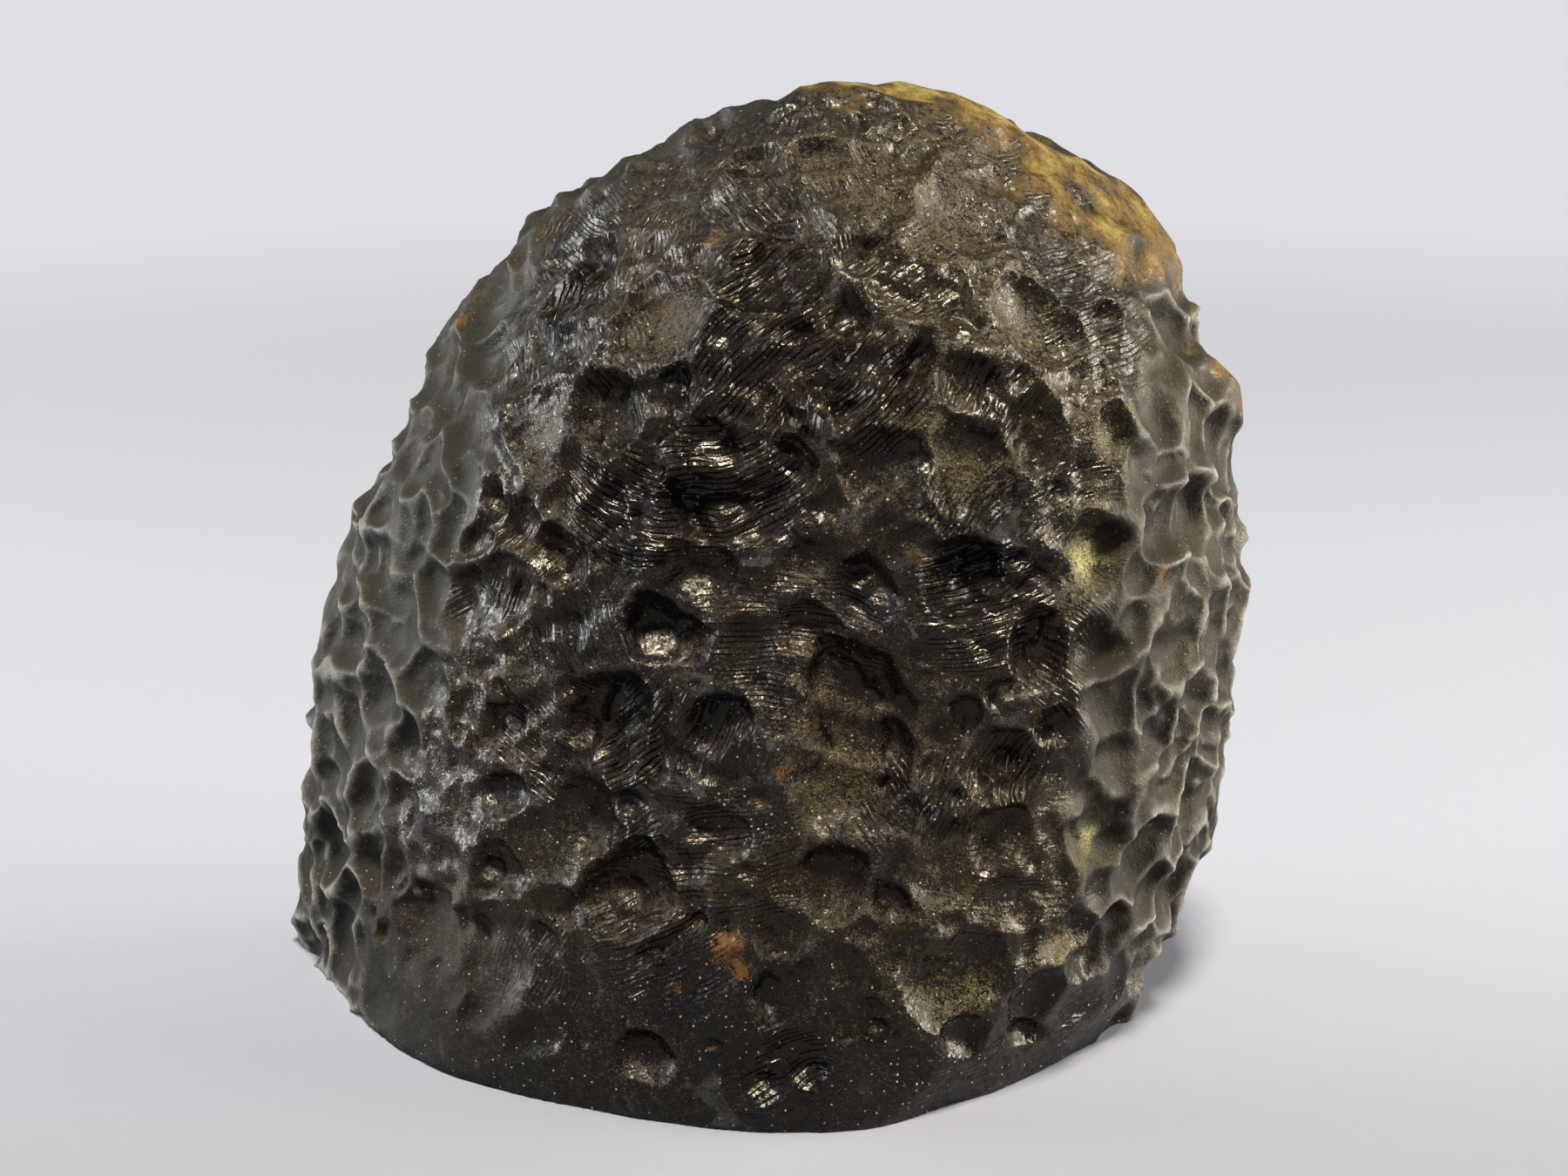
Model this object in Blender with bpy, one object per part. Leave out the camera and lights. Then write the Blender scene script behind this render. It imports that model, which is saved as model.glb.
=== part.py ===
# An indochinite tektite: one lump of natural glass, about 50 mm wide, that stands on a flat
# broken base. Its skin is covered with bowl-shaped pits that meet in sharp ridges.
#
# The stone is worked out in millimetres. Its front looks along -Y, its right side is +X, and
# the base lies in the plane Z = 0. A bearing is an angle round the stone, 0 at the front and
# positive to the right. A tilt is an angle up from level.

import bpy
import bmesh
import numpy as np

STONE = "tektite"
MM = 0.001

# The point inside the stone that its faces are measured from, and how crisply they meet
MIDDLE = np.array([4.4, 2.1, 22.0])
EDGE_POWER = 11

# Each broad face of the stone: bearing, tilt, and distance from MIDDLE
FACES = [
    ("front", -6, 7, 13.5),
    ("front upper", 3, 38, 19.4),
    ("crown", 11, 70, 26.7),
    ("left flank", -57, 4, 21.7),
    ("left upper", -54, 45, 20.7),
    ("left shoulder", -70, 29, 21.5),
    ("right flank", 67, 8, 19.2),
    ("right upper", 55, 42, 20.1),
    ("left bevel", -26, 5, 16.3),
    ("right bevel", 33, 6, 17.0),
    ("front foot", 35, -14, 18.6),
    ("right foot", 72, -18, 22.3),
    ("back left", -143, 7, 21.5),
    ("back right", 123, 0, 18.8),
    ("back upper", 181, 54, 20.9),
    ("back", 184, 0, 12.8),
    ("back middle left", -165, 5, 14.5),
    ("back middle right", 150, 2, 15.4),
    ("back high", 183, 28, 16.7),
    ("back foot", 178, -28, 16.0),
    ("underside", 0, -90, 27.0),
]

# Knobs on the sides: bearing, height, radius, and how far they stand out
KNOBS = [
    ("left knob", -98, 21.5, 2.4, 0.8),
    ("left heel", -100, 1.5, 3.8, 1.0),
    ("right ear", 88, 31.5, 2.0, 0.7),
    ("right cheek", 95, 22.0, 5.0, 0.7),
]

# Deep pits on the front: x, z, radius, depth
DEEP_PITS = [
    (-7.3, 38.5, 1.9, 0.8), (-9.1, 36.6, 1.6, 0.7),
    (15.9, 36.0, 1.5, 0.7), (16.1, 31.6, 1.4, 0.6),
    (-6.3, 32.6, 1.9, 0.8), (1.9, 30.6, 1.2, 0.5),
    (5.5, 31.0, 1.9, 0.7), (-2.5, 28.2, 1.9, 1.0),
    (-2.5, 25.2, 1.9, 0.7), (-4.5, 23.2, 1.8, 1.0),
    (9.3, 26.0, 2.3, 0.9), (15.5, 26.4, 1.9, 0.8),
    (12.5, 22.4, 1.6, 0.8), (15.5, 22.0, 1.8, 0.7),
    (-6.5, 19.2, 2.3, 0.9), (-1.5, 19.0, 1.6, 0.7),
    (-5.9, 10.6, 2.5, 1.0), (-7.3, 14.0, 1.9, 0.7),
    (13.5, 18.8, 1.3, 0.5), (12.5, 36.4, 2.4, 0.9),
]

# Broad shallow pits on the front, with dusty floors
BROAD_PITS = [
    (-3.9, 36.6, 2.4, 0.6), (9.3, 40.6, 2.4, 0.6),
    (9.3, 31.0, 2.2, 0.6), (12.3, 32.2, 1.8, 0.6),
    (9.3, 7.2, 2.7, 0.8), (13.1, 5.4, 1.9, 0.5),
    (14.3, 8.0, 1.6, 0.5), (16.1, 12.6, 2.0, 0.6),
    (-16.0, 7.2, 2.4, 0.7), (-5.3, 3.2, 1.7, 0.5),
    (11.1, 10.8, 1.8, 0.5), (10.7, 17.0, 2.0, 0.6),
    (11.0, 14.2, 1.6, 0.5), (-1.4, 13.9, 1.7, 0.5),
    (4.7, 25.0, 1.8, 0.6), (2.5, 23.4, 1.6, 0.5),
]

# The long hollow in the middle of the front is a chain of pits: its top, middle and foot
LONG_HOLLOW = [(4.3, 20.2, 2.2, 0.9), (4.1, 18.2, 2.4, 1.0), (3.9, 16.2, 2.5, 0.9)]

# Small pits on the front, whose depth follows from their radius: x, z, radius
SMALL_PITS = [
    (0.0, 43.0, 1.4), (3.1, 43.4, 1.3), (-3.4, 34.0, 0.9), (-3.2, 32.9, 0.8),
    (0.6, 34.0, 1.2), (1.1, 28.7, 1.2), (-0.5, 28.3, 1.3), (4.3, 36.6, 1.2),
    (1.9, 36.0, 0.9), (8.5, 37.3, 1.1), (7.1, 37.8, 1.1), (4.7, 39.2, 1.2),
    (6.1, 38.0, 1.0), (9.2, 34.4, 1.2), (7.0, 34.8, 1.2), (10.7, 20.5, 0.9),
    (11.8, 20.8, 0.8), (9.4, 19.8, 1.2), (3.7, 11.7, 1.8), (6.1, 11.0, 1.3),
    (-10.7, 27.0, 1.6), (-8.7, 26.0, 1.6), (-11.7, 18.2, 1.1), (-11.4, 14.6, 1.4),
    (-11.9, 10.8, 1.4), (9.3, 4.3, 1.2), (12.6, 3.2, 1.2), (-13.1, 25.9, 1.3),
    (-12.0, 27.4, 1.2), (-14.9, 27.9, 1.3),
]

# The rest of the skin is filled with pits of these radii, largest first, with the number of
# places tried for each. Two pits' middles keep this share of their radii's sum apart.
FILL_SIZES = [(2.3, 60), (1.8, 500), (1.5, 1500), (1.2, 3000), (0.95, 5000)]
FILL_SPACING = 0.76
# The front's foot, under this height and in front of this Y, is left smooth
FOOT_HEIGHT = 3.4
FOOT_LIMIT = -4.0
FILL_SEED = 41
PIT_DEPTH_SHARE = (0.30, 0.46)

# A pit's wall follows 1 - (distance / radius) ** PIT_SHAPE, and RIDGE_ROUND rounds the ridges
PIT_SHAPE = 2.2
RIDGE_ROUND = 0.08

# Unevenness: size of its waves and how high they are, in and out of the surface
SWELLS = [(11.0, 0.55), (4.5, 0.22)]
# Unevenness of the pits' outlines: size of the waves and how far they shift an outline
WANDERS = [(3.2, 0.75), (1.3, 0.22)]

# Half-sizes of the egg shape that spreads the mesh points evenly over the stone
SPREAD = np.array([25.0, 13.5, 23.5])
FINE_LEVEL = 7
TRIANGLE_COUNT = 9600

GLASS_COLOUR = (0.030, 0.024, 0.020, 1.0)
GLASS_ROUGHNESS = 0.38


def outward(bearing, tilt):
    """Unit vectors that point at a bearing and a tilt, both in degrees."""
    b, t = np.radians(bearing), np.radians(tilt)
    return np.stack([np.sin(b) * np.cos(t), -np.cos(b) * np.cos(t), np.sin(t)], -1)


FACE_NORMALS = np.array([outward(bearing, tilt) for _, bearing, tilt, _ in FACES])
FACE_DISTANCES = np.array([distance for _, _, _, distance in FACES])


def unit(vectors):
    return vectors / np.linalg.norm(vectors, axis=-1, keepdims=True)


def fullness(points):
    """1 on the stone's form, less inside it and more outside: the faces, rounded together."""
    reach = np.maximum((points - MIDDLE) @ FACE_NORMALS.T, 0) / FACE_DISTANCES
    return (reach ** EDGE_POWER).sum(-1) ** (1 / EDGE_POWER)


def form_points(rays):
    """The points of the form that rays from MIDDLE meet."""
    return MIDDLE + rays / fullness(MIDDLE + rays)[:, None]


def form_normals(points):
    reach = np.maximum((points - MIDDLE) @ FACE_NORMALS.T, 0) / FACE_DISTANCES
    return unit((reach ** (EDGE_POWER - 1) / FACE_DISTANCES) @ FACE_NORMALS)


def form_point_along(start, step):
    """The point where a line that comes from outside first meets the form."""
    outside, inside = start, None
    for k in range(200):
        point = start + step * 0.5 * k
        if fullness(point) < 1:
            inside = point
            break
        outside = point
    if inside is None:
        raise ValueError("the line misses the stone")
    for _ in range(20):
        half = (outside + inside) / 2
        if fullness(half) < 1:
            inside = half
        else:
            outside = half
    return inside


def on_front(x, z):
    return form_point_along(np.array([x, -30.0, z]), np.array([0.0, 1.0, 0.0]))


def on_side(bearing, z):
    ray = outward(bearing, 0)
    return form_point_along(np.array([MIDDLE[0], MIDDLE[1], z]) + 45 * ray, -ray)


def waves(points, seed):
    """Smooth random waves of about one unit, between -1 and 1."""
    rng = np.random.default_rng(seed)
    order = rng.permutation(256)
    slopes = unit(rng.normal(size=(256, 3)))
    cell = np.floor(points).astype(int)
    inner = points - cell
    fade = inner ** 3 * (inner * (inner * 6 - 15) + 10)
    total = np.zeros(len(points))
    for corner in np.ndindex(2, 2, 2):
        key = order[(cell[:, 0] + corner[0]) & 255]
        key = order[(key + cell[:, 1] + corner[1]) & 255]
        key = order[(key + cell[:, 2] + corner[2]) & 255]
        rise = ((inner - corner) * slopes[key]).sum(1)
        total += rise * np.where(corner, fade, 1 - fade).prod(1)
    return total * 1.6


def wander(points):
    """Points shifted by smooth waves, in which a round pit gets an uneven outline."""
    moved = points.copy()
    for n, (size, shift) in enumerate(WANDERS):
        for axis in range(3):
            moved[:, axis] += shift * waves(points / size, 10 + 3 * n + axis)
    return moved


def placed_pits():
    """The pits set by hand: middles, radii and depths."""
    chosen = [(on_front(x, z), r, d) for x, z, r, d in DEEP_PITS + BROAD_PITS + LONG_HOLLOW]
    chosen += [(on_front(x, z), r, 0.4 * r) for x, z, r in SMALL_PITS]
    return chosen


def all_pits():
    """Every pit: middles, radii and depths, with the bare skin filled from the seed."""
    chosen = placed_pits()
    middles = [pit[0] for pit in chosen]
    radii = [pit[1] for pit in chosen]
    depths = [pit[2] for pit in chosen]
    rng = np.random.default_rng(FILL_SEED)
    for size, tries in FILL_SIZES:
        rays = unit(unit(rng.normal(size=(tries, 3))) * SPREAD)
        sizes = size * rng.uniform(0.88, 1.12, tries)
        shares = rng.uniform(*PIT_DEPTH_SHARE, tries)
        for point, radius, share in zip(form_points(rays), sizes, shares):
            gaps = np.linalg.norm(np.array(middles) - point, axis=1)
            on_foot = point[2] < FOOT_HEIGHT and point[1] < FOOT_LIMIT
            in_reach = point[2] > -1 and not on_foot
            if in_reach and (gaps > FILL_SPACING * (np.array(radii) + radius)).all():
                middles.append(point)
                radii.append(radius)
                depths.append(radius * share)
    return np.array(middles), np.array(radii), np.array(depths)


def pitted_depth(points):
    """How deep the pits cut at each point of the form."""
    middles, radii, depths = all_pits()
    here = wander(points)
    cut = np.ones(len(points))
    for middle, radius, depth in zip(wander(middles), radii, depths):
        near = np.nonzero(np.abs(here - middle).max(1) < radius)[0]
        away = np.linalg.norm(here[near] - middle, axis=1) / radius
        bowl = depth * np.maximum(1 - away ** PIT_SHAPE, 0)
        cut[near] += np.exp(bowl / RIDGE_ROUND) - 1
    return RIDGE_ROUND * np.log(cut)


def knob_height(points):
    height = np.zeros(len(points))
    for _, bearing, z, radius, rise in KNOBS:
        away = np.linalg.norm(points - on_side(bearing, z), axis=1) / radius
        height += rise * np.exp(-away ** 2 * 1.5)
    return height


def skin_points(rays):
    """Points of the finished skin along the rays, before the base is cut."""
    points = form_points(rays)
    swell = sum(high * waves(points / size, 50 + n) for n, (size, high) in enumerate(SWELLS))
    rise = swell + knob_height(points) - pitted_depth(points)
    return points + form_normals(points) * rise[:, None]


def fine_stone():
    """A dense ball of triangles, moved out to the stone's skin."""
    bpy.ops.mesh.primitive_ico_sphere_add(subdivisions=FINE_LEVEL, radius=1)
    stone = bpy.context.object
    mesh = stone.data
    rays = np.empty(len(mesh.vertices) * 3)
    mesh.vertices.foreach_get("co", rays)
    rays = unit(rays.reshape(-1, 3) * SPREAD)
    mesh.vertices.foreach_set("co", (skin_points(rays) * MM).ravel())
    mesh.update()
    return stone


def thin_out(stone):
    """Join small triangles where the skin is plain, down to the number wanted."""
    decimate = stone.modifiers.new("thin out", "DECIMATE")
    decimate.ratio = TRIANGLE_COUNT / len(stone.data.polygons)
    bpy.context.view_layer.update()
    evaluated = stone.evaluated_get(bpy.context.evaluated_depsgraph_get())
    thinned = bpy.data.meshes.new_from_object(evaluated)
    stone.modifiers.clear()
    stone.data = thinned


def cut_base(stone):
    """Cut the stone off flat at Z = 0 and close the cut with one face."""
    shape = bmesh.new()
    shape.from_mesh(stone.data)
    everything = shape.verts[:] + shape.edges[:] + shape.faces[:]
    bmesh.ops.bisect_plane(shape, geom=everything, dist=1e-6, plane_co=(0, 0, 0),
                           plane_no=(0, 0, -1), clear_outer=True)
    rim = [edge for edge in shape.edges if edge.is_boundary]
    bmesh.ops.holes_fill(shape, edges=rim, sides=0)
    bmesh.ops.recalc_face_normals(shape, faces=shape.faces[:])
    bmesh.ops.triangulate(shape, faces=shape.faces[:])
    shape.to_mesh(stone.data)
    shape.free()


def centre_on_origin(stone):
    """Slide the stone until its bounding box stands centred on the Z axis."""
    places = np.empty(len(stone.data.vertices) * 3)
    stone.data.vertices.foreach_get("co", places)
    places = places.reshape(-1, 3)
    middle = (places.min(0) + places.max(0)) / 2
    places[:, :2] -= middle[:2]
    stone.data.vertices.foreach_set("co", places.ravel())
    stone.data.update()


def glass():
    material = bpy.data.materials.new("tektite_glass")
    material.use_nodes = True
    shader = material.node_tree.nodes["Principled BSDF"]
    shader.inputs["Base Color"].default_value = GLASS_COLOUR
    shader.inputs["Roughness"].default_value = GLASS_ROUGHNESS
    shader.inputs["Metallic"].default_value = 0.0
    return material


def build():
    for old in list(bpy.data.objects):
        bpy.data.objects.remove(old, do_unlink=True)
    collection = bpy.data.collections.new("indochinite_tektite")
    bpy.context.scene.collection.children.link(collection)

    stone = fine_stone()
    thin_out(stone)
    cut_base(stone)
    centre_on_origin(stone)
    stone.name = stone.data.name = STONE
    stone.data.materials.clear()
    stone.data.materials.append(glass())
    for holder in list(stone.users_collection):
        holder.objects.unlink(stone)
    collection.objects.link(stone)


build()
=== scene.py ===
# The looks of the tektite: a dense mesh of its pitted skin, its glass with dust and crust, and
# the pale paper, lights and camera of a still life.
#
# The stone is worked out in millimetres, as in its CAD source. Its front looks along -Y and its
# right side is +X. A bearing is an angle round the stone, 0 at the front and positive to the
# right. A tilt is an angle up from level. A place on the front is given by its x and z alone.

from types import SimpleNamespace
import bpy
import numpy as np
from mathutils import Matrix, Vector


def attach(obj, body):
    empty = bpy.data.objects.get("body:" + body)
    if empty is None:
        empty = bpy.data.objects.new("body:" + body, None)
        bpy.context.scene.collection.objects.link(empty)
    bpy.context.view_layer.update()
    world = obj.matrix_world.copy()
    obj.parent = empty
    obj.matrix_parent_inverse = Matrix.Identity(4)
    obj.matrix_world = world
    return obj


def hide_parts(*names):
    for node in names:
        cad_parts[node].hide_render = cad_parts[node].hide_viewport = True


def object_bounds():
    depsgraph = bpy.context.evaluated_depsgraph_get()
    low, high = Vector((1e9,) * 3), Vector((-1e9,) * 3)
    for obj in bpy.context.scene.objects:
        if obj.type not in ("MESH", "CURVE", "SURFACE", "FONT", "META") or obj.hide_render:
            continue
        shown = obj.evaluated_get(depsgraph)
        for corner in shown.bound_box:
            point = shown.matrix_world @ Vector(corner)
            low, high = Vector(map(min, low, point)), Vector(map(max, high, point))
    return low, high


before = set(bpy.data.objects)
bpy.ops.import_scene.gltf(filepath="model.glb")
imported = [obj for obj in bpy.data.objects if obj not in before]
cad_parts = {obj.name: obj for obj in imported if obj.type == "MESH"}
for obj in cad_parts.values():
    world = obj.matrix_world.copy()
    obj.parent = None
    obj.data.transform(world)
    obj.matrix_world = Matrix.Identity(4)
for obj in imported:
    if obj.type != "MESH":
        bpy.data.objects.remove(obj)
CAD_BOX = [list(corner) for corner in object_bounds()]

NODE = "tektite"
MM = 0.001

# The point inside the stone that its faces are measured from, and how crisply they meet
MIDDLE = np.array([4.4, 2.1, 22.0])
EDGE_POWER = 11

# Each broad face of the stone: bearing, tilt, and distance from MIDDLE
FACES = [
    ("front", -6, 7, 13.5),
    ("front upper", 3, 38, 19.4),
    ("crown", 11, 70, 26.7),
    ("left flank", -57, 4, 21.7),
    ("left upper", -54, 45, 20.7),
    ("left shoulder", -70, 29, 21.5),
    ("right flank", 67, 8, 19.2),
    ("right upper", 55, 42, 20.1),
    ("left bevel", -26, 5, 16.3),
    ("right bevel", 33, 6, 17.0),
    ("front foot", 35, -14, 18.6),
    ("right foot", 72, -18, 22.3),
    ("back left", -143, 7, 21.5),
    ("back right", 123, 0, 18.8),
    ("back upper", 181, 54, 20.9),
    ("back", 184, 0, 12.8),
    ("back middle left", -165, 5, 14.5),
    ("back middle right", 150, 2, 15.4),
    ("back high", 183, 28, 16.7),
    ("back foot", 178, -28, 16.0),
    ("underside", 0, -90, 27.0),
]

# Knobs on the sides: bearing, height, radius, and how far they stand out
KNOBS = [
    ("left knob", -98, 21.5, 2.4, 0.8),
    ("left heel", -100, 1.5, 3.8, 1.0),
    ("right ear", 88, 31.5, 2.0, 0.7),
    ("right cheek", 95, 22.0, 5.0, 0.7),
]
KNOB_FALL = 1.5

# Deep pits on the front: x, z, radius, depth
DEEP_PITS = [
    (-7.3, 38.5, 1.9, 0.8), (-9.1, 36.6, 1.6, 0.7),
    (15.9, 36.0, 1.5, 0.7), (16.1, 31.6, 1.4, 0.6),
    (-6.3, 32.6, 1.9, 0.8), (1.9, 30.6, 1.2, 0.5),
    (5.5, 31.0, 1.9, 0.7), (-2.5, 28.2, 1.9, 1.0),
    (-2.5, 25.2, 1.9, 0.7), (-4.5, 23.2, 1.8, 1.0),
    (9.3, 26.0, 2.3, 0.9), (15.5, 26.4, 1.9, 0.8),
    (12.5, 22.4, 1.6, 0.8), (15.5, 22.0, 1.8, 0.7),
    (-6.5, 19.2, 2.3, 0.9), (-1.5, 19.0, 1.6, 0.7),
    (-5.9, 10.6, 2.5, 1.0), (-7.3, 14.0, 1.9, 0.7),
    (13.5, 18.8, 1.3, 0.5), (12.5, 36.4, 2.4, 0.9),
]

# Broad shallow pits on the front, with dusty floors
BROAD_PITS = [
    (-3.9, 36.6, 2.4, 0.6), (9.3, 40.6, 2.4, 0.6),
    (9.3, 31.0, 2.2, 0.6), (12.3, 32.2, 1.8, 0.6),
    (9.3, 7.2, 2.7, 0.8), (13.1, 5.4, 1.9, 0.5),
    (14.3, 8.0, 1.6, 0.5), (16.1, 12.6, 2.0, 0.6),
    (-16.0, 7.2, 2.4, 0.7), (-5.3, 3.2, 1.7, 0.5),
    (11.1, 10.8, 1.8, 0.5), (10.7, 17.0, 2.0, 0.6),
    (11.0, 14.2, 1.6, 0.5), (-1.4, 13.9, 1.7, 0.5),
    (4.7, 25.0, 1.8, 0.6), (2.5, 23.4, 1.6, 0.5),
]

# The long hollow in the middle of the front is a chain of pits: its top, middle and foot
LONG_HOLLOW = [(4.3, 20.2, 2.2, 0.9), (4.1, 18.2, 2.4, 1.0), (3.9, 16.2, 2.5, 0.9)]

# Small pits on the front, whose depth is a share of their radius: x, z, radius
SMALL_PIT_DEPTH = 0.4
SMALL_PITS = [
    (0.0, 43.0, 1.4), (3.1, 43.4, 1.3), (-3.4, 34.0, 0.9), (-3.2, 32.9, 0.8),
    (0.6, 34.0, 1.2), (1.1, 28.7, 1.2), (-0.5, 28.3, 1.3), (4.3, 36.6, 1.2),
    (1.9, 36.0, 0.9), (8.5, 37.3, 1.1), (7.1, 37.8, 1.1), (4.7, 39.2, 1.2),
    (6.1, 38.0, 1.0), (9.2, 34.4, 1.2), (7.0, 34.8, 1.2), (10.7, 20.5, 0.9),
    (11.8, 20.8, 0.8), (9.4, 19.8, 1.2), (3.7, 11.7, 1.8), (6.1, 11.0, 1.3),
    (-10.7, 27.0, 1.6), (-8.7, 26.0, 1.6), (-11.7, 18.2, 1.1), (-11.4, 14.6, 1.4),
    (-11.9, 10.8, 1.4), (9.3, 4.3, 1.2), (12.6, 3.2, 1.2), (-13.1, 25.9, 1.3),
    (-12.0, 27.4, 1.2), (-14.9, 27.9, 1.3),
]

# The rest of the skin is filled with pits of these radii, largest first, with the number of
# places tried for each. Two pits' middles keep this share of their radii's sum apart.
FILL_SIZES = [(2.3, 60), (1.8, 500), (1.5, 1500), (1.2, 3000), (0.95, 5000)]
FILL_SPACING = 0.76
FILL_SEED = 41
# How much a filled pit's radius varies, and its depth as a share of its radius
FILL_VARIES = (0.88, 1.12)
PIT_DEPTH_SHARE = (0.30, 0.46)
# Once placed, filled pits are widened by this. Their depths vary by FILL_WAVES about this middle
# and within these limits, and those on the crisp front are this much flatter.
FILL_WIDEN = 1.16
FILL_DEPTH = 0.95
FILL_DEPTH_LIMITS = (0.45, 1.25)
FRONT_FILL_FLATTER = 0.4
# Places lower than this are left to the underside
LOWEST_FILL = -1
# The front's foot, under this height and in front of this Y, is left smooth
FOOT_HEIGHT = 3.4
FOOT_LIMIT = -4.0

# A pit's wall follows 1 - (distance / radius) ** PIT_SHAPE. The ridges between large pits and
# between small ones are rounded by about this much.
PIT_SHAPE = 2.8
RIDGE_ROUND = 0.035
FINE_RIDGE_ROUND = 0.02
# Pits are cut this much deeper than their depths say: filled ones, and those listed
PIT_DEEPEN = 1.25
PLACED_DEEPEN = 1.55
# The bend between a ridge's crest and the points round it that counts as a full ridge
RIDGE_BEND = 0.22
RIDGE_POWER = 0.7
RIDGE_SMOOTHING = 2
# The worn skin is rubbed round, above this height: how far each point moves to the middle of
# those round it, and how many times
RUB_SHARE = 0.5
RUB_TIMES = 2
RUB_ABOVE = 0.5

# Unevenness, as sets of smooth waves: the size of the waves, their seed and their height.
# SWELLS go in and out of the surface, and LUMPS are those of the crisp skin.
SWELLS = [(11.0, 50, 0.55), (4.5, 51, 0.22)]
LUMPS = [(1.5, 52, 0.11), (0.75, 53, 0.05)]
# WANDERS shift the pits' outlines, with a seed for each axis
WANDERS = [(3.2, 10, 0.75), (1.3, 13, 0.22), (0.5, 16, 0.06)]
# These shape the underside, the flow lines' paths, the chips' patches, the crisp skin's edge,
# its patches on the back, and the filled pits' depths
BASE_WAVES = [(3.1, 60, 1.0), (0.9, 61, 0.5)]
LINE_WAVES = [(2.2, 70, 0.25), (0.8, 71, 0.07)]
CHIP_WAVES = [(5, 90, 0.8), (1.5, 91, 0.5)]
EDGE_WAVES = [(2.4, 93, 0.9)]
BACK_WAVES = [(8, 95, 2.5)]
FILL_WAVES = [(4, 96, 0.9)]
WAVE_GAIN = 1.6

# Small chips, over and between the pits: places tried, radii (more small than large), and depth
# as a share of the radius, which varies
CHIP_TRIES = 9000
CHIP_RADII = (0.35, 0.85)
CHIP_SMALLNESS = 1.6
CHIP_DEPTH_SHARE = 0.36
CHIP_DEPTH_VARIES = (0.6, 1.3)
CHIP_SEED = 77
# A chip is kept by chance, and only this far from a listed pit's middle, in its radii
CHIP_CHANCE = (0.5, 1.5)
CHIP_CLEARANCE = 0.85

# Scallops of the worn skin, small shallow pits set close together over the larger ones: places
# tried, radii from the first tried to the last, and depth as a share of the radius
SCALLOP_TRIES = 9000
SCALLOP_RADII = (1.15, 0.65)
SCALLOP_SPACING = 0.74
SCALLOP_WIDEN = 1.2
SCALLOP_DEPTH_SHARE = (0.26, 0.42)
SCALLOP_SEED = 23
# Scallops stay where the skin is less crisp, less part of the foot and less crusted than this
SCALLOP_LIMITS = (0.4, 0.3, 0.3)

# Grooves on the front: radius, depth, and the points x, z that each runs through
GROOVES = [
    ("hollow's right rim", 0.65, 0.65, [
        (3.1, 22.5), (4.1, 22.4), (5.2, 21.8), (6.0, 20.9), (6.4, 19.8), (6.5, 18.6),
        (6.5, 17.4), (6.2, 16.0)]),
    ("hollow's crack", 0.34, 0.40, [
        (2.8, 21.7), (2.6, 20.7), (2.6, 19.7), (2.7, 18.9), (3.0, 18.3), (3.3, 17.6)]),
    ("flow band's furrow", 0.42, 0.40, [
        (-5.0, 7.9), (-4.4, 8.5), (-3.7, 9.0), (-3.0, 9.5), (-2.1, 9.9)]),
    ("crown's crack", 0.28, 0.30, [(11.5, 41.8), (11.7, 41.2), (11.9, 40.6)]),
]
GROOVE_STEP = 0.25

# The crisp front's left and right edges, as heights and the x at each, its top edge, as x and
# the height at each, and the width over which it fades
CRISP_LEFT = ([1.2, 5.2, 11.2, 14.8, 20.4, 28.4, 36.2, 39.8],
              [-18.5, -20.3, -18.1, -16.5, -14.2, -12.8, -11.5, -9.4])
CRISP_RIGHT = ([2.4, 8.0, 12.5, 18.0, 24.0, 30.0, 34.6, 36.8, 38.5],
               [16.0, 15.8, 14.4, 14.6, 15.0, 16.6, 18.3, 18.2, 17.4])
CRISP_TOP = ([-8.7, -5.2, -1.9, 1.3, 5.2, 9.1, 11.1, 12.5, 14.1],
             [40.3, 42.2, 43.9, 46.2, 46.6, 45.6, 44.8, 43.4, 41.6])
CRISP_FADE = 1.8

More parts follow.
